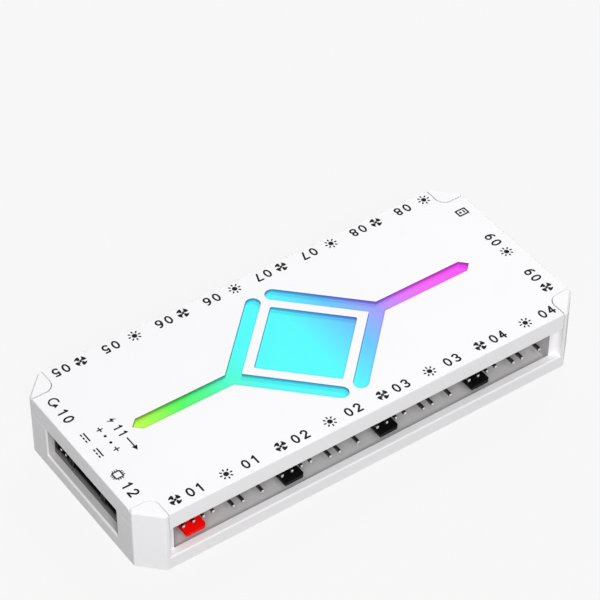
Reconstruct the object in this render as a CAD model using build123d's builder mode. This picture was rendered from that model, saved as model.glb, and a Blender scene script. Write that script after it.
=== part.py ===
from build123d import *
import os

# A fan and light hub: an octagonal tray with four corner posts, a roof that drops in between the posts,
# a circuit board with right-angled headers on all four sides, and a milky diffuser in the roof's windows.
# Millimetres. X runs along the case, front is -Y, Z is up, and the origin is under the case's middle.

# Case
case_length = 120.0
case_depth = 52.4
case_height = 17.2
corner_cut = 5.2
wall = 2.0
floor_thickness = 2.0
roof_thickness = 2.0
parting_height = 12.3
parting_gap = 0.15
skirt_relief = 0.3
sill_height = 3.6
post_reach = 6.1
post_round = 2.4
seam_gap = 0.15
column_width = 8.3
column_reach = 7.6
cove_round = 1.55
opening_margin = 0.5
lip_round = 0.4
roof_round = 0.25
post_bevel = 0.45
foot_bevel = 0.12
corner_round = 0.5

# Light windows in the roof and the diffuser behind them
window_margin = 6.1
window_gap = 5.8
window_round = 0.5
bar_width = 3.65
bar_end = 2.7
arm_margin = 13.6
window_depth = 0.9
window_clearance = 0.05
diffuser_thickness = 1.2
diffuser_margin = 1.2
arm_plate_width = 8.0

# Circuit board
board_thickness = 1.6
board_standoff = 2.0
board_depth = 36.4
board_inset = 8.0
board_round = 1.0
peg_radius = 1.5
peg_spacing_x = 40.0
peg_spacing_y = 12.0

# Case screws and their bosses
screw_inset_x = 8.4
screw_inset_y = 8.2
screw_radius = 1.0
screw_head_radius = 1.9
screw_head_height = 1.5
screw_head_round = 0.6
screw_head_recess = 1.7
screw_tip_gap = 1.3
pilot_gap = 0.65
screw_fit = 0.02
screw_clearance = 0.1
head_clearance = 0.2
recess_length = 2.3
recess_width = 0.5
recess_depth = 0.7
shell_boss_radius = 3.0
roof_boss_radius = 2.6
board_hole_radius = 1.2

# Headers with square pins on the standard pitch
pin_pitch = 2.54
pin_size = 0.64
pin_tip = 2.0
pin_taper = 0.15
pin_tail = 1.2
pin_fit = 0.02
leg_gap = 0.9
drill_clearance = 0.15
header_pins = 4
panel_pins = 2
key_place = 2
header_depth = 2.5
header_notch = 0.7
fan_pin_rise = 2.9
fan_body_height = 4.3
tab_tip = 1.0
tab_width = 5.2
tab_thickness = 0.9
tab_rise = 0.6
tab_round = 0.8
ports_per_row = 8
port_row_margin = 8.4
side_gap = 1.1

# Shrouded headers on the left side
shroud_mouth = 2.05
shroud_cavity = 5.0
shroud_wall = 0.8
shroud_floor = 1.6
shroud_height = 4.8
shroud_drop = 2.4
shroud_back = 10.4
shroud_pin_rise = 1.0
shroud_pin_tip = 3.0
reset_pin_tip = 1.95
shroud_round = 0.5
reset_pins = 2
power_pins = 4
link_pins = 3
fine_pitch = 2.0
fine_pin_size = 0.5
power_pitch = 2.5
shroud_margin = 2.3
power_margin = 2.65
shroud_gap = 0.3
board_edge_gap = 0.2

# Parts on the board
lamp_size = 5.0
lamp_height = 1.6
lamp_round = 0.4
arm_lamps = 3
chip_height = 1.2
controller_size = 7.0
controller_leads = 8
controller_y = 9.0
driver_length = 8.7
driver_width = 3.9
driver_leads = 7
driver_y = -9.0
lead_pitch = 0.8
lead_width = 0.35
lead_length = 1.0
lead_thickness = 0.2
lead_rise = 0.4
regulator_length = 6.5
regulator_width = 3.5
regulator_height = 1.7
regulator_gap = 9.0
regulator_y = -8.0
can_radius = 3.15
can_height = 5.4
can_base = 6.6
can_base_height = 1.0
can_inset = 15.0
can_spacing = 14.0
chip_part_length = 2.0
chip_part_width = 1.25
capacitor_height = 1.0
resistor_height = 0.5
small_parts_per_row = 6
small_part_inset = 6.6

# Sizes that follow from those above
half_length = case_length / 2
half_depth = case_depth / 2
board_bottom = floor_thickness + board_standoff
board_top = board_bottom + board_thickness
board_length = case_length - 2 * board_inset
row_inset = (case_depth - board_depth) / 2
edge_inset = {"front": row_inset, "back": row_inset, "right": board_inset, "left": board_inset}
roof_underside = case_height - roof_thickness
shell_rim = parting_height - parting_gap
bar_line = half_depth - window_margin
window_half_diagonal = bar_line - window_gap
arm_tip = half_length - arm_margin
screw_spacing_x = board_length - 2 * screw_inset_x
screw_spacing_y = board_depth - 2 * screw_inset_y
header_width = header_pins * pin_pitch
panel_width = panel_pins * pin_pitch
light_pin_rise = pin_pitch / 2
port_pitch = (case_length - 2 * port_row_margin) / ports_per_row
row_centre = (ports_per_row - 1) / 2
right_span = 2 * header_width + panel_width + 2 * side_gap
reset_width = (reset_pins - 1) * fine_pitch + 2 * shroud_margin
power_width = (power_pins - 1) * power_pitch + 2 * power_margin
link_width = (link_pins - 1) * fine_pitch + 2 * shroud_margin
left_span = reset_width + power_width + link_width + 2 * shroud_gap
side_opening = left_span + 2 * opening_margin
lamp_step = (arm_tip - bar_line) / arm_lamps
lamp_x = [bar_line + lamp_step * (i + 0.5) for i in range(arm_lamps)]
controller_x = -2 * port_pitch
driver_x = 2 * port_pitch
can_x = can_inset - board_length / 2
regulator_x = can_x + regulator_gap
small_part_y = board_depth / 2 - small_part_inset
drilled = []

os.makedirs("parts", exist_ok=True)


# Frame of a port: x runs to the right along the wall as seen from outside, y inwards, z up from the board.
def wall_frame(side, along):
    places = {
        "front": ((along, -half_depth, board_top), (1, 0, 0)),
        "back": ((-along, half_depth, board_top), (-1, 0, 0)),
        "right": ((half_length, along, board_top), (0, 1, 0)),
        "left": ((-half_length, -along, board_top), (0, -1, 0)),
    }
    origin, along_wall = places[side]
    return Plane(origin=origin, x_dir=along_wall, z_dir=(0, 0, 1))


def inwards(frame):
    return Axis(frame.origin, frame.y_dir)


def sideways(frame):
    return Axis(frame.origin, frame.x_dir)


def evenly(count, pitch):
    return [(i - (count - 1) / 2) * pitch for i in range(count)]


def finish(builder, label):
    builder.part.label = label
    export_step(builder.part, f"parts/{label}.step")


# Outline of one light window's fork: two slanted bars with round ends that meet in a pointed arm.
def fork_window(grow):
    reach = bar_line - bar_end
    length = reach * 2**0.5
    middle = (bar_line + bar_end) / 2
    half_width = bar_width / 2 + grow
    with Locations((middle, reach / 2)):
        SlotCenterToCenter(length, 2 * half_width, rotation=-45)
    with Locations((middle, -reach / 2)):
        SlotCenterToCenter(length, 2 * half_width, rotation=45)
    tip = arm_tip + grow * 2**0.5
    shoulder = tip - half_width
    Polygon(
        (bar_line, -half_width),
        (shoulder, -half_width),
        (tip, 0),
        (shoulder, half_width),
        (bar_line, half_width),
        align=None,
    )


# All three windows, grown or shrunk by the same margin on every side.
def all_windows(grow):
    square = window_half_diagonal * 2**0.5 + 2 * grow
    RectangleRounded(square, square, window_round + grow, rotation=45)
    fork_window(grow)
    mirror(about=Plane.YZ)


# Pins bent down into the board: a run along the inward direction and a leg through the board.
def bent_pins(label, frame, offsets, size, tip, leg, rise):
    run = leg + size / 2 - tip
    top = rise + size / 2
    bottom = -board_thickness - pin_tail
    with BuildPart(frame) as pins:
        for offset in offsets:
            with Locations((offset, tip + run / 2, rise)):
                Box(size, run, size)
            with Locations((offset, leg, (top + bottom) / 2)):
                Box(size, size, top - bottom)
        chamfer(pins.faces().group_by(inwards(frame))[0].edges(), pin_taper)
    finish(pins, label)
    for offset in offsets:
        drilled.append((frame.from_local_coords((offset, leg, 0)), size))


# Low header: a plain housing, where one place may have no pin, as a key.
def low_header(name, side, along, places, empty_place):
    frame = wall_frame(side, along)
    inset = edge_inset[side]
    offsets = [x for i, x in enumerate(evenly(places, pin_pitch)) if i != empty_place]
    face_origin = frame.from_local_coords((0, inset, light_pin_rise))
    face = Plane(origin=face_origin, x_dir=frame.x_dir, z_dir=frame.y_dir)
    hole = pin_size + 2 * pin_fit
    leg = inset + header_depth + leg_gap
    with BuildPart(frame) as housing:
        with BuildSketch(face):
            Rectangle(places * pin_pitch, pin_pitch)
            with GridLocations(pin_pitch, pin_pitch, places + 1, 2):
                Rectangle(header_notch, header_notch, rotation=45, mode=Mode.SUBTRACT)
        extrude(amount=header_depth)
        for offset in offsets:
            with Locations((offset, inset + header_depth / 2, light_pin_rise)):
                Box(hole, header_depth, hole, mode=Mode.SUBTRACT)
    finish(housing, name.replace("*", "header"))
    bent_pins(name.replace("*", "pins"), frame, offsets, pin_size, pin_tip, leg, light_pin_rise)


# Fan header: a taller housing with a flat guide tab under the first pins.
def fan_header(name, side, along):
    frame = wall_frame(side, along)
    inset = edge_inset[side]
    offsets = evenly(header_pins, pin_pitch)
    hole = pin_size + 2 * pin_fit
    leg = inset + header_depth + leg_gap
    tab_length = inset - tab_tip
    with BuildPart(frame) as housing:
        with Locations((0, inset + header_depth / 2, fan_body_height / 2)):
            Box(header_width, header_depth, fan_body_height)
        with Locations((-pin_pitch / 2, tab_tip + tab_length / 2, tab_rise + tab_thickness / 2)):
            Box(tab_width, tab_length, tab_thickness)
        tab_corners = housing.edges().filter_by(Axis.Z).group_by(inwards(frame))[0]
        fillet(tab_corners.sort_by(sideways(frame))[-1], tab_round)
        for offset in offsets:
            with Locations((offset, inset + header_depth / 2, fan_pin_rise)):
                Box(hole, header_depth, hole, mode=Mode.SUBTRACT)
    finish(housing, name.replace("*", "header"))
    bent_pins(name.replace("*", "pins"), frame, offsets, pin_size, pin_tip, leg, fan_pin_rise)


# Shrouded header on the left side: a box open outwards, whose front hangs past the board's edge.
def shroud_header(name, along, count, pitch, margin, size, tip):
    frame = wall_frame("left", along)
    offsets = evenly(count, pitch)
    width = (count - 1) * pitch + 2 * margin
    hole = size + 2 * pin_fit
    shoulder = board_inset - board_edge_gap
    front_height = shroud_height + shroud_drop
    cavity_bottom = shroud_floor - shroud_drop
    cavity_height = shroud_height - shroud_wall - cavity_bottom
    leg = shroud_back + leg_gap
    with BuildPart(frame) as housing:
        with Locations((0, (shroud_mouth + shoulder) / 2, shroud_height - front_height / 2)):
            Box(width, shoulder - shroud_mouth, front_height)
        fillet(housing.edges().filter_by(inwards(frame)), shroud_round)
        with Locations((0, (shoulder + shroud_back) / 2, shroud_height / 2)):
            Box(width, shroud_back - shoulder, shroud_height)
        with Locations((0, shroud_mouth + shroud_cavity / 2, cavity_bottom + cavity_height / 2)):
            Box(width - 2 * shroud_wall, shroud_cavity, cavity_height, mode=Mode.SUBTRACT)
        for offset in offsets:
            with Locations((offset, (shroud_mouth + shroud_back) / 2, shroud_pin_rise)):
                Box(hole, shroud_back - shroud_mouth, hole, mode=Mode.SUBTRACT)
    finish(housing, name.replace("*", "header"))
    bent_pins(name.replace("*", "pins"), frame, offsets, size, tip, leg, shroud_pin_rise)


# Flat chip with straight leads along two or four sides.
def leaded_chip(label, x, y, length, width, leads, four_sides):
    foot_height = lead_rise + lead_thickness
    foot_x = length / 2 + lead_length
    foot_y = width / 2 + lead_length
    with BuildPart(Plane((x, y, board_top))) as chip:
        with Locations((0, 0, lead_thickness + chip_height / 2)):
            Box(length, width, chip_height)
        for offset in evenly(leads, lead_pitch):
            with Locations((offset, 0, foot_height)):
                Box(lead_width, 2 * foot_y, lead_thickness)
            with Locations((offset, -foot_y, foot_height / 2), (offset, foot_y, foot_height / 2)):
                Box(lead_width, lead_thickness, foot_height)
            if four_sides:
                with Locations((0, offset, foot_height)):
                    Box(2 * foot_x, lead_width, lead_thickness)
                with Locations((-foot_x, offset, foot_height / 2), (foot_x, offset, foot_height / 2)):
                    Box(lead_thickness, lead_width, foot_height)
    finish(chip, label)


# Bottom shell: the tray, its corner posts and columns, sills, port openings, pegs and screw bosses
with BuildPart() as bottom_shell:
    with BuildSketch() as plan:
        Rectangle(case_length, case_depth)
        chamfer(plan.vertices(), corner_cut)
    extrude(amount=case_height)
    fillet(bottom_shell.edges().filter_by(Axis.Z), corner_round)
    chamfer(bottom_shell.faces().sort_by(Axis.Z)[0].edges(), foot_bevel)
    chamfer(bottom_shell.faces().sort_by(Axis.Z)[-1].edges(), post_bevel)
    with BuildSketch(Plane.XY.offset(floor_thickness)):
        Rectangle(case_length - 2 * wall, case_depth - 2 * wall)
        with GridLocations(case_length, case_depth, 2, 2):
            Rectangle(2 * column_width, 2 * column_reach, mode=Mode.SUBTRACT)
    extrude(amount=case_height - floor_thickness, mode=Mode.SUBTRACT)
    with BuildSketch(Plane.XY.offset(shell_rim)):
        Rectangle(case_length, case_depth)
        with GridLocations(case_length, case_depth, 2, 2):
            RectangleRounded(2 * post_reach, 2 * post_reach, post_round, mode=Mode.SUBTRACT)
    extrude(amount=case_height - shell_rim, mode=Mode.SUBTRACT)
    with BuildSketch(Plane.XY.offset(sill_height)):
        with GridLocations(0, case_depth, 1, 2):
            RectangleRounded(case_length - 2 * post_reach, 2 * wall, cove_round)
        with GridLocations(case_length, 0, 2, 1):
            Rectangle(2 * wall, side_opening)
    extrude(amount=shell_rim - sill_height, mode=Mode.SUBTRACT)
    sill_edges = bottom_shell.edges().filter_by_position(Axis.Z, sill_height, sill_height)
    front_lips = sill_edges.filter_by(Axis.X).group_by(Axis.Y)
    side_lips = sill_edges.filter_by(Axis.Y).group_by(Axis.X)
    fillet(front_lips[0] + front_lips[-1] + side_lips[0] + side_lips[-1], lip_round)
    with BuildSketch(Plane.XY.offset(floor_thickness)):
        with GridLocations(screw_spacing_x, screw_spacing_y, 2, 2):
            Circle(shell_boss_radius)
        with GridLocations(peg_spacing_x, peg_spacing_y, 2, 2):
            Circle(peg_radius)
    extrude(amount=board_standoff)
    with BuildSketch():
        with GridLocations(screw_spacing_x, screw_spacing_y, 2, 2):
            Circle(screw_radius + screw_clearance)
    extrude(amount=board_bottom, mode=Mode.SUBTRACT)
    with BuildSketch():
        with GridLocations(screw_spacing_x, screw_spacing_y, 2, 2):
            Circle(screw_head_radius + head_clearance)
    extrude(amount=screw_head_recess, mode=Mode.SUBTRACT)
finish(bottom_shell, "bottom_shell")

# Top cover: roof and skirts in one moulding, cut back around the posts, with windows and screw bosses
with BuildPart() as top_cover:
    with BuildSketch(Plane.XY.offset(parting_height)) as outline:
        Rectangle(case_length, case_depth)
        with GridLocations(case_length, case_depth, 2, 2):
            RectangleRounded(
                2 * (post_reach + seam_gap),
                2 * (post_reach + seam_gap),
                post_round + seam_gap,
                mode=Mode.SUBTRACT,
            )
    extrude(amount=case_height - parting_height)
    fillet(top_cover.faces().sort_by(Axis.Z)[-1].edges(), roof_round)
    with BuildSketch(Plane.XY.offset(parting_height)):
        add(outline.sketch.faces())
        offset(amount=-wall, mode=Mode.REPLACE)
    extrude(amount=roof_underside - parting_height, mode=Mode.SUBTRACT)
    with BuildSketch(Plane.XY.offset(parting_height)):
        with GridLocations(0, case_depth, 1, 2):
            Rectangle(case_length, 2 * wall)
    extrude(amount=skirt_relief, mode=Mode.SUBTRACT)
    with BuildSketch(Plane.XY.offset(roof_underside)):
        all_windows(0)
    extrude(amount=roof_thickness, mode=Mode.SUBTRACT)
    with BuildSketch(Plane.XY.offset(board_top)):
        with GridLocations(screw_spacing_x, screw_spacing_y, 2, 2):
            Circle(roof_boss_radius)
    extrude(amount=roof_underside - board_top)
    with BuildSketch(Plane.XY.offset(board_top)):
        with GridLocations(screw_spacing_x, screw_spacing_y, 2, 2):
            Circle(screw_radius + screw_fit)
    extrude(amount=roof_underside - pilot_gap - board_top, mode=Mode.SUBTRACT)
finish(top_cover, "top_cover")

# Light diffuser: a plate bonded under the roof with raised pads that stand in the windows
with BuildPart() as light_diffuser:
    plate_diagonal = bar_line + bar_width / 2 * 2**0.5 + diffuser_margin
    with BuildSketch(Plane.XY.offset(roof_underside - diffuser_thickness)):
        Rectangle(plate_diagonal * 2**0.5, plate_diagonal * 2**0.5, rotation=45)
        Rectangle(2 * (arm_tip + diffuser_margin), arm_plate_width)
    extrude(amount=diffuser_thickness)
    with BuildSketch(Plane.XY.offset(roof_underside)):
        all_windows(-window_clearance)
    extrude(amount=roof_thickness - window_depth)
finish(light_diffuser, "light_diffuser")

# Front and back rows of ports, fan and light headers in turn
for index in range(ports_per_row):
    along = (index - row_centre) * port_pitch
    number = index // 2 + 1
    for side, place in (("front", along), ("back", -along)):
        if index % 2 == 0:
            fan_header(f"{side}_fan_*_{number}", side, place)
        else:
            low_header(f"{side}_light_*_{number}", side, place, header_pins, key_place)

# Right side: fan, light and panel headers side by side
fan_place = (header_width - right_span) / 2
light_place = fan_place + header_width + side_gap
panel_place = (right_span - panel_width) / 2
fan_header("right_fan_*", "right", fan_place)
low_header("right_light_*", "right", light_place, header_pins, key_place)
low_header("right_panel_*", "right", panel_place, panel_pins, None)

# Left side: reset, power and board link headers in their shrouds
reset_place = (reset_width - left_span) / 2
power_place = reset_place + (reset_width + power_width) / 2 + shroud_gap
link_place = (left_span - link_width) / 2
fine = (fine_pitch, shroud_margin, fine_pin_size)
shroud_header("left_reset_*", reset_place, reset_pins, *fine, reset_pin_tip)
shroud_header("left_power_*", power_place, power_pins, power_pitch, power_margin, pin_size, shroud_pin_tip)
shroud_header("left_link_*", link_place, link_pins, *fine, shroud_pin_tip)

# Circuit board: drilled for every pin leg and for the case screws
with BuildPart() as circuit_board:
    with BuildSketch(Plane.XY.offset(board_bottom)):
        RectangleRounded(board_length, board_depth, board_round)
        with GridLocations(screw_spacing_x, screw_spacing_y, 2, 2):
            Circle(board_hole_radius, mode=Mode.SUBTRACT)
        for leg, size in drilled:
            with Locations((leg.X, leg.Y)):
                Circle(size / 2**0.5 + drill_clearance / 2, mode=Mode.SUBTRACT)
    extrude(amount=board_thickness)
finish(circuit_board, "circuit_board")

# Case screws: pan heads in the floor's recesses, shanks up into the roof's bosses
with BuildPart() as case_screws:
    head_bottom = screw_head_recess - screw_head_height
    with BuildSketch(Plane.XY.offset(head_bottom)):
        with GridLocations(screw_spacing_x, screw_spacing_y, 2, 2):
            Circle(screw_head_radius)
    extrude(amount=screw_head_height)
    fillet(case_screws.edges().group_by(Axis.Z)[0], screw_head_round)
    with BuildSketch(Plane.XY.offset(screw_head_recess)):
        with GridLocations(screw_spacing_x, screw_spacing_y, 2, 2):
            Circle(screw_radius)
    extrude(amount=roof_underside - screw_tip_gap - screw_head_recess)
    with BuildSketch(Plane.XY.offset(head_bottom)):
        with GridLocations(screw_spacing_x, screw_spacing_y, 2, 2):
            Rectangle(recess_length, recess_width)
            Rectangle(recess_width, recess_length)
    extrude(amount=recess_depth, mode=Mode.SUBTRACT)
finish(case_screws, "case_screws")

# Colour lamps: square packages on the board, under the arms and the centre window
with BuildPart() as rgb_lamps:
    with BuildSketch(Plane.XY.offset(board_top)):
        for x in lamp_x:
            with GridLocations(2 * x, 0, 2, 1):
                RectangleRounded(lamp_size, lamp_size, lamp_round)
        with PolarLocations(window_half_diagonal / 2, 4):
            RectangleRounded(lamp_size, lamp_size, lamp_round)
    extrude(amount=lamp_height)
finish(rgb_lamps, "rgb_lamps")

# Chips on the board
leaded_chip(
    "controller_chip", controller_x, controller_y, controller_size, controller_size, controller_leads, True
)
leaded_chip("fan_driver_chip", driver_x, driver_y, driver_length, driver_width, driver_leads, False)

# Voltage regulator: a small moulded block
with BuildPart(Plane.XY.offset(board_top)) as voltage_regulator:
    with Locations((regulator_x, regulator_y, regulator_height / 2)):
        Box(regulator_length, regulator_width, regulator_height)
    chamfer(voltage_regulator.faces().sort_by(Axis.Z)[-1].edges(), lead_thickness)
finish(voltage_regulator, "voltage_regulator")

# Power capacitors: metal cans on square bases, just inside the power header
with BuildPart() as power_capacitors:
    with BuildSketch(Plane.XY.offset(board_top)):
        with Locations((can_x, 0)):
            with GridLocations(0, can_spacing, 1, 2):
                Rectangle(can_base, can_base)
    extrude(amount=can_base_height)
    with BuildSketch(Plane.XY.offset(board_top + can_base_height)):
        with Locations((can_x, 0)):
            with GridLocations(0, can_spacing, 1, 2):
                Circle(can_radius)
    extrude(amount=can_height - can_base_height)
finish(power_capacitors, "power_capacitors")

# Chip capacitors and chip resistors: one small block for each port, in rows along the board
with BuildPart() as chip_capacitors:
    with BuildSketch(Plane.XY.offset(board_top)):
        with Locations((0, small_part_y)):
            with GridLocations(port_pitch, 0, small_parts_per_row, 1):
                Rectangle(chip_part_length, chip_part_width)
    extrude(amount=capacitor_height)
finish(chip_capacitors, "chip_capacitors")

with BuildPart() as chip_resistors:
    with BuildSketch(Plane.XY.offset(board_top)):
        with Locations((0, -small_part_y)):
            with GridLocations(port_pitch, 0, small_parts_per_row, 1):
                Rectangle(chip_part_length, chip_part_width)
    extrude(amount=resistor_height)
finish(chip_resistors, "chip_resistors")
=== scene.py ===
import math

import bmesh
import bpy
from mathutils import Matrix, Vector, geometry


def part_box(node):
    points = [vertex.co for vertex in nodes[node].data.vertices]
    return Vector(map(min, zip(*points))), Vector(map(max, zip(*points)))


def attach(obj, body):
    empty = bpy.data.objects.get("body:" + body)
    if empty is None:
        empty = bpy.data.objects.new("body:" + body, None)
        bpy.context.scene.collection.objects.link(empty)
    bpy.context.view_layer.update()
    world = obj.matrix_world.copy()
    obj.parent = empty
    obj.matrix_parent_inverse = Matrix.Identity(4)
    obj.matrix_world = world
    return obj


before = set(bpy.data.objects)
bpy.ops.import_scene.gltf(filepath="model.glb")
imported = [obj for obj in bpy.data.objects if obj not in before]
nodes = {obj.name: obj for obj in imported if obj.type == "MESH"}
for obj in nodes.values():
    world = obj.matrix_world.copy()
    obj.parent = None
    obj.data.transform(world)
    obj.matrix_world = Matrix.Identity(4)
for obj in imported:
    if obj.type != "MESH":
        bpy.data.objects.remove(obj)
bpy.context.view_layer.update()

# Bottom shell and top cover: an octagonal tray with four corner posts, and a roof whose skirts drop in
# between the posts. Both are moulded in white plastic with a fine grain. Grey is painted in for the shade
# inside the shell and in the seams at the posts, and the rims of the roof's windows are painted dark in the
# colour of the light below, for their shade and the glow's tint.
MM = 0.001


class Socket:
    # An output of a shader node. Sums, products and comparisons with it add Math nodes.
    def __init__(self, tree, socket=None):
        self.tree = tree
        self.socket = socket

    def node(self, kind, settings, sockets, output=0):
        made = self.tree.nodes.new(kind)
        for name, value in settings.items():
            if name == "stops":
                elements = made.color_ramp.elements
                elements[0].position, elements[0].color = value[0]
                elements[-1].position, elements[-1].color = value[-1]
                for place, colour in value[1:-1]:
                    elements.new(place).color = colour
            else:
                setattr(made, name, value)
        for name, value in sockets.items():
            if isinstance(value, Socket):
                self.tree.links.new(value.socket, made.inputs[name])
            else:
                made.inputs[name].default_value = value
        return Socket(self.tree, made.outputs[output] if made.outputs else None)

    def maths(self, operation, first, second=0.0):
        return self.node("ShaderNodeMath", {"operation": operation}, {0: first, 1: second})

    def __add__(self, other):
        return self.maths("ADD", self, other)

    def __mul__(self, other):
        return self.maths("MULTIPLY", self, other)

    def __sub__(self, other):
        return self.maths("SUBTRACT", self, other)

    def __rsub__(self, other):
        return self.maths("SUBTRACT", other, self)

    def __gt__(self, other):
        return self.maths("GREATER_THAN", self, other)

    def __lt__(self, other):
        return self.maths("LESS_THAN", self, other)

    def __or__(self, other):
        return self.maths("MAXIMUM", self, other)

    def __abs__(self):
        return self.maths("ABSOLUTE", self)

    __radd__ = __add__
    __rmul__ = __mul__


def new_finish(name):
    made = bpy.data.materials.new(name)
    made.use_nodes = True
    made.node_tree.nodes.clear()
    return made, Socket(made.node_tree)


def grain(tree, size, detail=2.0):
    # Even noise whose blobs are about as wide as the given size, in metres.
    place = tree.node("ShaderNodeTexCoord", {}, {}, "Object")
    return tree.node("ShaderNodeTexNoise", {}, {"Vector": place, "Scale": 1 / size, "Detail": detail})


def coordinates(tree):
    place = tree.node("ShaderNodeTexCoord", {}, {}, "Object")
    return [tree.node("ShaderNodeSeparateXYZ", {}, {"Vector": place}, axis) for axis in "XYZ"]


def tinted(tree, mask, low, high):
    # Colour that goes from low to high with a mask from 0 to 1.
    low, high = [c if isinstance(c, Socket) else (*c, 1.0) for c in (low, high)]
    return tree.node("ShaderNodeMix", {"data_type": "RGBA"}, {0: mask, 6: low, 7: high}, 2)


def bumped(tree, height, depth):
    return tree.node("ShaderNodeBump", {}, {"Height": height, "Distance": depth, "Strength": 1.0})


def coated(tree, sockets):
    shader = tree.node("ShaderNodeBsdfPrincipled", {}, sockets)
    tree.node("ShaderNodeOutputMaterial", {}, {"Surface": shader})


def dress(finish, slot_name, *names):
    for name in names:
        nodes[name].data.materials.clear()
        nodes[name].data.materials.append(finish)


case_white = (0.872, 0.862, 0.876)
case_white_low = (0.852, 0.843, 0.856)


def moulded(tree, mask, shade_paint):
    # White grained plastic, with another colour painted in for shade where the mask is 1.
    drift = grain(tree, 14 * MM)
    texture = grain(tree, 0.22 * MM, 3.0)
    white = tinted(tree, drift, case_white_low, case_white)
    coated(
        tree,
        {
            "Base Color": tinted(tree, mask, white, shade_paint),
            "Roughness": 0.50 + 0.12 * texture,
            "Specular IOR Level": 0.25,
            "Normal": bumped(tree, texture, 0.004 * MM),
        },
    )


inside_shade_grey = (0.52, 0.51, 0.515)
seam_shade_grey = (0.70, 0.69, 0.70)
wall = 2.0 * MM
side_lip = 0.45 * MM
parting_height = 12.1 * MM
steep = 0.7
hair = 0.02 * MM
case_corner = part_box("bottom_shell")[1]

shell_finish, tree = new_finish("white_shell_plastic")
x, y, z = coordinates(tree)
outwards = tree.node("ShaderNodeCombineXYZ", {}, {"X": x, "Y": y})
facing = tree.node("ShaderNodeNewGeometry", {}, {}, "True Normal")
facing_up = tree.node("ShaderNodeSeparateXYZ", {}, {"Vector": facing}, "Z")
lean = tree.node("ShaderNodeVectorMath", {"operation": "DOT_PRODUCT"}, {0: outwards, 1: facing}, "Value")
between_walls = (abs(x) < case_corner.x - side_lip) * (abs(y) < case_corner.y - wall - hair)
# Grey painted in for the shade inside the shell: its floor, inner walls and side ledges.
inside = between_walls * (lean < wall) * (z < parting_height)
# Grey painted in for the shade in the seams, on the flanks of the posts above the parting line.
post_flank = (lean < -wall) * (facing_up < steep) * (z > parting_height)
moulded(tree, inside | post_flank, tinted(tree, inside, seam_shade_grey, inside_shade_grey))
dress(shell_finish, "white_case", "bottom_shell")

glow_reach = 46.3 * MM
glow_stops = [
    (0.00, (0.58, 1.00, 0.07, 1.0)),
    (0.13, (0.115, 0.98, 0.13, 1.0)),
    (0.20, (0.09, 0.97, 0.28, 1.0)),
    (0.27, (0.095, 0.99, 0.62, 1.0)),
    (0.35, (0.095, 1.00, 0.95, 1.0)),
    (0.52, (0.10, 0.97, 1.00, 1.0)),
    (0.63, (0.15, 0.60, 1.00, 1.0)),
    (0.72, (0.38, 0.36, 0.98, 1.0)),
    (0.80, (0.80, 0.20, 0.98, 1.0)),
    (0.87, (0.93, 0.15, 0.93, 1.0)),
    (1.00, (0.93, 0.09, 0.93, 1.0)),
]
# Window rims: painted dark for the shade in the recesses, in the colour of the glow below them.
rim_top = (0.27, 0.14, 0.24)
rim_foot = (0.76, 0.56, 0.80)
window_reach_x = 47.0 * MM
window_reach_y = 22.0 * MM
post_cut = 6.5 * MM
roof_round = 0.3 * MM
roof_top = case_corner.z
pad_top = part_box("light_diffuser")[1].z


def glow_along(tree, x):
    # Colour of the light behind the windows, which changes along the case.
    share = tree.node("ShaderNodeMapRange", {}, {"Value": x, "From Min": -glow_reach, "From Max": glow_reach})
    return tree.node("ShaderNodeValToRGB", {"stops": glow_stops}, {"Fac": share})


cover_finish, tree = new_finish("white_cover_plastic")
x, y, z = coordinates(tree)
through_roof = (z > roof_top - wall + hair) * (z < roof_top - hair)
in_window = through_roof * (abs(x) < window_reach_x) * (abs(y) < window_reach_y)
# Painted shade on the rims, darkest at the roof's top, times the glow's colour for a painted tint of its
# light.
rise = tree.node("ShaderNodeMapRange", {}, {"Value": z, "From Min": pad_top, "From Max": roof_top})
rim_shade_tint = tinted(tree, rise, rim_foot, rim_top)
rim = tree.node("ShaderNodeVectorMath", {"operation": "MULTIPLY"}, {0: glow_along(tree, x), 1: rim_shade_tint})
facing = tree.node("ShaderNodeNewGeometry", {}, {}, "True Normal")
facing_up = tree.node("ShaderNodeSeparateXYZ", {}, {"Vector": facing}, "Z")
# Grey painted in for the shade in the seams, on the cover's faces at the posts.
at_post = (abs(x) > case_corner.x - post_cut) * (abs(y) > case_corner.y - post_cut)
off_skirt = (abs(x) < case_corner.x - roof_round) * (abs(y) < case_corner.y - roof_round)
in_seam = at_post * off_skirt * (facing_up < steep)
moulded(tree, in_window | in_seam, tinted(tree, in_window, seam_shade_grey, rim))
dress(cover_finish, "white_case", "top_cover")

# Circuit board: glass laminate under white solder mask. It rests on the shell's bosses and pegs, and the
# case screws clamp it between the shell and the cover.
mask_white = (0.72, 0.73, 0.72)
mask_shade = (0.62, 0.64, 0.62)
board_finish, tree = new_finish("white_solder_mask")
weave = grain(tree, 1.1 * MM)
coated(
    tree,
    {
        "Base Color": tinted(tree, weave, mask_shade, mask_white),
        "Roughness": 0.32 + 0.2 * weave,
        "Normal": bumped(tree, weave, 0.01 * MM),
    },
)
dress(board_finish, "board_laminate", "circuit_board")

# Colour lamps: white ceramic packages soldered to the board under the windows. Each holds three dies under
# clear resin.
package_cream = (0.78, 0.77, 0.72)
package_white = (0.86, 0.86, 0.82)
lamp_finish, tree = new_finish("lamp_package_white")
speckle = grain(tree, 0.6 * MM)
coated(
    tree,
    {
        "Base Color": tinted(tree, speckle, package_cream, package_white),
        "Roughness": 0.2 + 0.2 * speckle,
    },
)
dress(lamp_finish, "lamp_package", "rgb_lamps")

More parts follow.
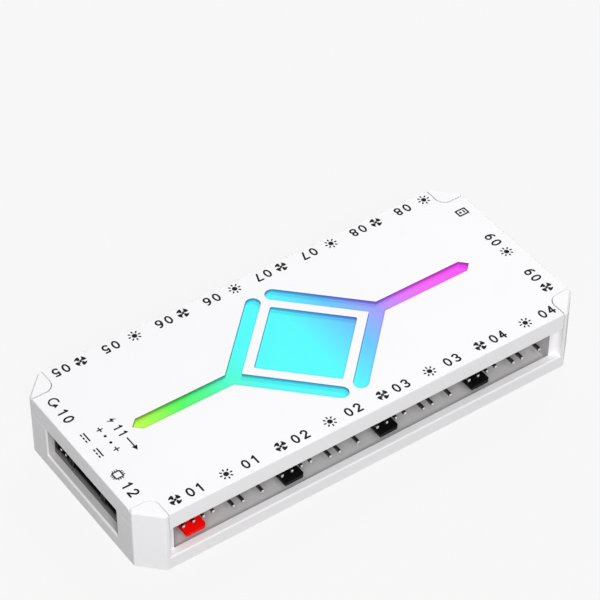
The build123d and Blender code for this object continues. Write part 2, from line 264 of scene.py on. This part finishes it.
# Controller chip, fan driver chip, voltage regulator and chip resistors: black epoxy, moulded round the
# silicon. They are soldered flat on the board.
epoxy_dark = (0.016, 0.016, 0.017)
epoxy_pale = (0.045, 0.045, 0.048)
epoxy_finish, tree = new_finish("black_epoxy")
sand = grain(tree, 0.12 * MM, 4.0)
coated(
    tree,
    {
        "Base Color": tinted(tree, sand, epoxy_dark, epoxy_pale),
        "Roughness": 0.45 + 0.2 * sand,
        "Normal": bumped(tree, sand, 0.004 * MM),
    },
)
dress(epoxy_finish, "chip_black", "controller_chip", "fan_driver_chip", "voltage_regulator", "chip_resistors")

# Chip capacitors: small blocks of fired tan ceramic, one for each port. They are soldered to the board at
# both ends.
tan_dark = (0.33, 0.22, 0.13)
tan_pale = (0.47, 0.34, 0.22)
ceramic_finish, tree = new_finish("tan_ceramic")
fleck = grain(tree, 0.25 * MM)
coated(
    tree,
    {
        "Base Color": tinted(tree, fleck, tan_dark, tan_pale),
        "Roughness": 0.4 + 0.15 * fleck,
    },
)
dress(ceramic_finish, "tan_ceramic", "chip_capacitors")

# Power capacitors: drawn aluminium cans on moulded bases. They stand just inside the power header and
# smooth the supply.
can_dull = (0.66, 0.66, 0.68)
can_bright = (0.78, 0.78, 0.80)
can_finish, tree = new_finish("drawn_can")
brush = grain(tree, 0.5 * MM)
coated(
    tree,
    {
        "Base Color": tinted(tree, brush, can_dull, can_bright),
        "Metallic": 1.0,
        "Roughness": 0.25 + 0.2 * brush,
    },
)
dress(can_finish, "can_metal", "power_capacitors")

# Header pins: square wire with a short bevel at the tips. Each is pressed through its housing and bent down
# into the board. The shafts are painted dark for shade, and the tips bright for a painted highlight.
shaft_shade_dark = (0.085, 0.082, 0.080)
shaft_shade_pale = (0.150, 0.145, 0.140)
tip_painted_highlight = (0.65, 0.64, 0.62)
bevel = 0.22 * MM
reset_tip = 0.55 * MM
row_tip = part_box("back_fan_pins_1")[1].y - bevel
right_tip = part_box("right_fan_pins")[1].x - bevel
left_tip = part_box("left_reset_pins")[0].x + reset_tip
pin_finish, tree = new_finish("plated_wire")
streak = grain(tree, 0.3 * MM)
x, y, z = coordinates(tree)
# Painted highlight on the tips, painted shade along the shafts.
painted_highlight_tip = (abs(y) > row_tip) | (x > right_tip) | (x < left_tip)
coated(
    tree,
    {
        "Base Color": tinted(tree, painted_highlight_tip, tinted(tree, streak, shaft_shade_dark, shaft_shade_pale), tip_painted_highlight),
        "Metallic": 1.0,
        "Roughness": 0.28 + 0.16 * streak,
    },
)
dress(pin_finish, "pin_metal", *[name for name in sorted(nodes) if "_pins" in name])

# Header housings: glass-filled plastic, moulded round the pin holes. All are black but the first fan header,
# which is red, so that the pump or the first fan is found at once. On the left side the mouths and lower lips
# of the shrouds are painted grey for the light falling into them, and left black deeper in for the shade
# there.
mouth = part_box("left_power_header")[0].x + 0.7 * MM
lip_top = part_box("left_power_header")[0].z + 1.8 * MM
mouth_light_fade = 0.6 * MM


def housing_finish(name, low, high, mouth_light):
    made, tree = new_finish(name)
    sand = grain(tree, 0.2 * MM, 3.0)
    x, y, z = coordinates(tree)
    reach = {"Value": x, "From Min": mouth - mouth_light_fade, "From Max": mouth}
    rise = {"Value": z, "From Min": lip_top - mouth_light_fade, "From Max": lip_top + mouth_light_fade}
    inside = tree.node("ShaderNodeMapRange", {"interpolation_type": "SMOOTHSTEP"}, reach)
    above = tree.node("ShaderNodeMapRange", {"interpolation_type": "SMOOTHSTEP"}, rise)
    # Painted light: grey at the shroud's mouth and lower lip, black further in and higher up for painted
    # shade.
    painted_mouth_light = 1 - (inside | above)
    coated(
        tree,
        {
            "Base Color": tinted(tree, painted_mouth_light, tinted(tree, sand, low, high), mouth_light),
            "Roughness": 0.42 + 0.18 * sand,
            "Specular IOR Level": 0.1,
            "Normal": bumped(tree, sand, 0.005 * MM),
        },
    )
    return made


black_low = (0.002, 0.002, 0.0025)
black_high = (0.005, 0.005, 0.0055)
painted_mouth_grey = (0.17, 0.17, 0.17)
red_low = (0.92, 0.001, 0.001)
red_high = (0.96, 0.004, 0.003)
black_finish = housing_finish("black_housing_plastic", black_low, black_high, painted_mouth_grey)
red_finish = housing_finish("red_housing_plastic", red_low, red_high, red_high)
red_header = "front_fan_header_1"
black_headers = [name for name in sorted(nodes) if "_header" in name and name != red_header]
dress(red_finish, "red_housing", red_header)
dress(black_finish, "black_housing", *black_headers)

# Light diffuser: one milky plate bonded under the roof, with pads that stand in the windows. In place of the
# light of the lamps below, the pads glow, and their colour is painted in the glow's colour, from yellow-green
# at the left tip through cyan to magenta at the right tip.
glow_paint_share = 0.60
glow_strength = 0.34
black = (0.0, 0.0, 0.0)
glow_finish, tree = new_finish("lit_milky_plastic")
x, y, z = coordinates(tree)
glow = glow_along(tree, x)
on_pad = z > pad_top - hair
cloud = grain(tree, 3 * MM)
# Base colour painted in the glow's colour, with emission on the pads for their glow.
coated(
    tree,
    {
        "Base Color": tinted(tree, glow_paint_share, black, glow),
        "Roughness": 0.6 + 0.1 * cloud,
        "Specular IOR Level": 0.1,
        "Emission Color": tinted(tree, on_pad, black, glow),
        "Emission Strength": glow_strength,
    },
)
dress(glow_finish, "milky_diffuser", "light_diffuser")

# Case screws: plated steel with cross recesses. They are driven from below, through the shell and the
# board into the cover's bosses.
steel_dull = (0.42, 0.42, 0.43)
steel_bright = (0.58, 0.58, 0.60)
screw_finish, tree = new_finish("plated_steel")
rub = grain(tree, 0.4 * MM)
coated(
    tree,
    {
        "Base Color": tinted(tree, rub, steel_dull, steel_bright),
        "Metallic": 1.0,
        "Roughness": 0.28 + 0.2 * rub,
    },
)
dress(screw_finish, "screw_steel", "case_screws")

# Roof print: one pass of black ink over each port, with a sign for the kind of port and its number. The
# ink is a few hundredths of a millimetre thick and lies on the roof.
ink_thickness = 0.03
ink_sink = 0.01
pen = 0.40
digit_step = 2.1


def arc(x, y, width, height, start, end, steps=20):
    turns = [math.radians(start + (end - start) * i / steps) for i in range(steps + 1)]
    return [(x + width * math.cos(t), y + height * math.sin(t)) for t in turns]


def bar(x, y, width, height):
    left, right = x - width / 2, x + width / 2
    low, high = y - height / 2, y + height / 2
    return [(left, low), (right, low), (right, high), (left, high)]


def moved(outlines, x, y, degrees=0.0, scale=1.0):
    turn = Matrix.Rotation(math.radians(degrees), 2) * scale
    return [[turn @ Vector(point) + Vector((x, y)) for point in outline] for outline in outlines]


def all_round(outlines, count):
    return [outline for i in range(count) for outline in moved(outlines, 0, 0, 360 * i / count)]


def pen_line(points, width=pen):
    # Outlines of a pen line with round ends: a disc at each point and a bar between each two.
    outlines = [arc(x, y, width / 2, width / 2, 0, 330, 11) for x, y in points]
    for start, end in zip(points, points[1:]):
        run = Vector(end) - Vector(start)
        angle = math.degrees(math.atan2(run.y, run.x))
        outlines += moved([bar(run.length / 2, 0, run.length, width)], *start, angle)
    return outlines


digit_lines = {
    "0": [arc(0, 0, 0.55, 0.95, 0, 360)],
    "1": [[(-0.36, 0.58), (0.08, 0.95), (0.08, -0.95)]],
    "2": [arc(0, 0.42, 0.52, 0.53, 165, -35) + [(-0.54, -0.95), (0.56, -0.95)]],
    "3": [arc(-0.04, 0.48, 0.5, 0.47, 150, -90), arc(-0.04, -0.47, 0.56, 0.48, 90, -150)],
    "4": [[(0.24, -0.95), (0.24, 0.95), (-0.6, -0.4), (0.62, -0.4)]],
    "5": [[(0.48, 0.95), (-0.36, 0.95), (-0.44, 0.1)] + arc(-0.04, -0.33, 0.56, 0.62, 128, -145)],
    "6": [arc(0, -0.38, 0.54, 0.57, 0, 360), arc(0.26, -0.38, 0.8, 1.33, 180, 84)],
    "7": [[(-0.54, 0.95), (0.54, 0.95), (-0.16, -0.95)]],
    "8": [arc(0, 0.49, 0.46, 0.46, 0, 360), arc(0, -0.46, 0.55, 0.49, 0, 360)],
    "9": [arc(0, 0.38, 0.54, 0.57, 0, 360), arc(-0.26, 0.38, 0.8, 1.33, 0, -96)],
}


def number(value):
    outlines = []
    for place, digit in enumerate(f"{value:02d}"):
        for points in digit_lines[digit]:
            outlines += moved(pen_line(points), (place - 0.5) * digit_step, 0)
    return outlines


def fan_sign():
    blade = arc(0, 0, 1.25, 1.25, 0, 62, 8) + arc(0, 0, 0.82, 0.82, 48, 46, 1)
    blade += [(0.18, 0.38), (0.42, 0.0), (0.84, -0.08)]
    return [arc(0, 0, 0.3, 0.3, 0, 345, 23), *all_round([blade], 4)]


def light_sign():
    return [arc(0, 0, 0.55, 0.55, 0, 345, 23), *all_round(pen_line([(0.92, 0), (1.2, 0)], 0.32), 8)]


def reset_sign():
    return pen_line(arc(0, 0, 0.95, 0.95, 65, 330), 0.34) + [[(1.5, -0.62), (1.05, 0.42), (0.3, -0.42)]]


def power_sign():
    return [[(0.3, 1.25), (-0.72, -0.18), (-0.05, -0.18), (-0.3, -1.25), (0.72, 0.24), (0.05, 0.24)]]


def arrow_sign():
    return [bar(-0.6, 0, 3.2, 0.34), [(0.8, -0.7), (2.2, 0), (0.8, 0.7)]]


def supply_sign():
    return [bar(0, 0.38, 2.9, 0.36), *[bar(x, -0.38, 0.72, 0.36) for x in (-1.09, 0, 1.09)]]


def plus_sign():
    return [bar(0, 0, 1.5, 0.32), bar(0, 0, 0.32, 1.5)]


def dot_sign():
    return [arc(0, 0, 0.36, 0.36, 0, 345, 23)]


def board_sign():
    side = 0.78
    body = pen_line([(-side, -side), (side, -side), (side, side), (-side, side), (-side, -side)], 0.28)
    legs = [outline for x in (-0.45, 0, 0.45) for outline in pen_line([(x, side), (x, 1.22)], 0.22)]
    return body + all_round(legs, 4)


def panel_sign():
    wide, high = 0.8, 1.08
    frame_line = [(-wide, -high), (wide, -high), (wide, high), (-wide, high), (-wide, -high)]
    return pen_line(frame_line, 0.36) + [arc(0, 0.4, 0.3, 0.3, 0, 330, 11), bar(0, -0.45, 0.85, 0.34)]


def print_piece(name, outlines):
    # One thin plate inside all the outlines, in millimetres, laid on the roof.
    spots = [Vector(point) for outline in outlines for point in outline]
    loops = []
    for outline in outlines:
        first = sum(len(loop) for loop in loops)
        loops.append(list(range(first, first + len(outline))))
    only_inside, same_point = 1, 1e-4
    filled = geometry.delaunay_2d_cdt(spots, [], loops, only_inside, same_point)
    points, _, faces, _, _, sources = filled
    ink = bmesh.new()
    height = roof_top + (ink_thickness - ink_sink) * MM
    corners = [ink.verts.new((x * MM, y * MM, height)) for x, y in points]
    inked = [ink.faces.new([corners[i] for i in face]) for face, source in zip(faces, sources) if source]
    bmesh.ops.delete(ink, geom=[corner for corner in corners if not corner.link_faces], context="VERTS")
    below = bmesh.ops.extrude_face_region(ink, geom=inked, use_keep_orig=True)["geom"]
    lower = [item for item in below if isinstance(item, bmesh.types.BMVert)]
    bmesh.ops.translate(ink, verts=lower, vec=(0, 0, -ink_thickness * MM))
    bmesh.ops.recalc_face_normals(ink, faces=ink.faces)
    made = bpy.data.meshes.new(name)
    ink.to_mesh(made)
    ink.free()
    made.materials.append(ink_finish)
    piece = bpy.data.objects.new(name, made)
    bpy.context.scene.collection.objects.link(piece)
    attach(piece, "root")


ink_black = (0.003, 0.003, 0.004)
ink_thin = (0.009, 0.009, 0.010)
ink_finish, tree = new_finish("black_ink")
dots = grain(tree, 0.15 * MM, 3.0)
coated(
    tree,
    {
        "Base Color": tinted(tree, dots, ink_black, ink_thin),
        "Roughness": 0.5 + 0.2 * dots,
        "Specular IOR Level": 0.06,
    },
)

print_scale = 1.18
sign_place = 3.3
number_place = 1.8
light_spread = 0.6


def label(sign, value, spread=0.0):
    sign_part = moved(sign, -sign_place - spread, 0, 0, print_scale)
    return sign_part + moved(number(value), number_place + spread, 0, 0, print_scale)


label_pitch = 13.65
ports_per_row = 8
for side, line, shift, way, first in (("front", -23.3, 0.7, 0, 1), ("back", 23.95, -0.4, 180, 5)):
    row = []
    for index in range(ports_per_row):
        across = (index - (ports_per_row - 1) / 2) * label_pitch + shift
        value = first + index // 2
        words = label(light_sign(), value, light_spread) if index % 2 else label(fan_sign(), value)
        row += moved(words, across, line, way)
    print_piece(f"{side}_row_print", row)

right_line = 56.1
panel_label = moved(panel_sign(), 0, 0, 0, print_scale)
right_labels = [(label(fan_sign(), 9), -13.5), (label(light_sign(), 9), 1.4), (panel_label, 15.2)]
print_piece(
    "right_side_print",
    [outline for words, along in right_labels for outline in moved(words, right_line, along, 90)],
)

left_line = -56.5
polarity_line = -52.65
power_line = -49.0
left_labels = [
    (label(reset_sign(), 10), left_line, 13.0),
    (supply_sign(), left_line, 3.1),
    (supply_sign(), left_line, -2.35),
    (label(board_sign(), 12), left_line, -13.5),
    (plus_sign(), polarity_line, 3.35),
    (dot_sign(), polarity_line, 1.05),
    (dot_sign(), polarity_line, -1.25),
    (plus_sign(), polarity_line, -3.6),
    (power_sign(), power_line, 4.4),
    (number(11), power_line, 0.6),
    (arrow_sign(), power_line, -4.2),
]
print_piece(
    "left_side_print",
    [outline for words, across, along in left_labels for outline in moved(words, across, along, -90)],
)

# Table, lights and camera: a white table under soft studio light, seen from the front left. The main light
# stands behind the camera and fills the ports, a weaker one at the back right shades the windows, and a low
# one behind the case fills its back wall.
floor_reach = 3.0
floor_grey = (0.42, 0.42, 0.42, 1.0)
floor_white_share = 0.88
pure_white = (1.0, 1.0, 1.0, 1.0)
floor_mesh = bpy.data.meshes.new("floor")
floor_corners = bar(0, 0, 2 * floor_reach, 2 * floor_reach)
floor_mesh.from_pydata([(x, y, -hair) for x, y in floor_corners], [], [(0, 1, 2, 3)])
floor = bpy.data.objects.new("floor", floor_mesh)
bpy.context.scene.collection.objects.link(floor)
floor_finish, tree = new_finish("pale_floor")


def shown_white(tree):
    # 1 where the camera, a reflection or a view through glass meets the surface, and 0 for other light.
    camera, glossy, through = [
        tree.node("ShaderNodeLightPath", {}, {}, f"Is {kind} Ray")
        for kind in ("Camera", "Glossy", "Transmission")
    ]
    return camera | glossy | through


paper = tree.node("ShaderNodeBsdfDiffuse", {}, {"Color": floor_grey})
white = tree.node("ShaderNodeEmission", {}, {"Color": pure_white, "Strength": 1.0})
share = shown_white(tree) * floor_white_share
both = tree.node("ShaderNodeMixShader", {}, {0: share, 1: paper, 2: white})
tree.node("ShaderNodeOutputMaterial", {}, {"Surface": both})
floor_mesh.materials.append(floor_finish)

sky_level = 0.06
world = bpy.data.worlds.new("studio")
bpy.context.scene.world = world
world.use_nodes = True
world.node_tree.nodes.clear()
tree = Socket(world.node_tree)
strength = sky_level + (1 - sky_level) * shown_white(tree)
sky = tree.node("ShaderNodeBackground", {}, {"Color": pure_white, "Strength": strength})
tree.node("ShaderNodeOutputWorld", {}, {"Surface": sky})


def softbox(name, place, aim, width, power):
    lamp = bpy.data.lights.new(name, "AREA")
    lamp.shape = "SQUARE"
    lamp.size = width
    lamp.energy = power
    holder = bpy.data.objects.new(name, lamp)
    holder.location = place
    holder.rotation_euler = (Vector(aim) - Vector(place)).to_track_quat("-Z", "Y").to_euler()
    bpy.context.scene.collection.objects.link(holder)


softbox("main_behind_camera", (-0.437, -0.757, 0.822), (0, 0, 0), 0.5, 14.0)
softbox("weaker_at_back_right", (0.644, 0.503, 0.736), (0, 0, 0), 0.4, 6.2)
softbox("low_fill_behind", (0.160, 1.050, 0.190), (0, 0, 0), 0.3, 2.6)

camera_turn = math.radians(-35.13)
camera_height = math.radians(43.24)
camera_roll = math.radians(0.16)
camera_place = Vector((-1.344, 21.948, 593.76)) * MM
camera_rise = Vector((0, 0, 0.2)) * MM
picture_width = 600
focal_pixels = 2579
lens = bpy.data.cameras.new("camera")
lens.sensor_width = 36.0
lens.lens = lens.sensor_width * focal_pixels / picture_width
lens.clip_start = 0.01
camera = bpy.data.objects.new("camera", lens)
right = Vector((math.cos(camera_turn), math.sin(camera_turn), 0))
back = Vector(
    (
        math.sin(camera_turn) * math.cos(camera_height),
        -math.cos(camera_turn) * math.cos(camera_height),
        math.sin(camera_height),
    )
)
up = back.cross(right)
turn = Matrix((right, up, back)).transposed().to_4x4() @ Matrix.Rotation(camera_roll, 4, "Z")
camera.matrix_world = turn
camera.location = turn @ camera_place + camera_rise
bpy.context.scene.collection.objects.link(camera)
bpy.context.scene.camera = camera
bpy.context.scene.view_settings.view_transform = "Standard"
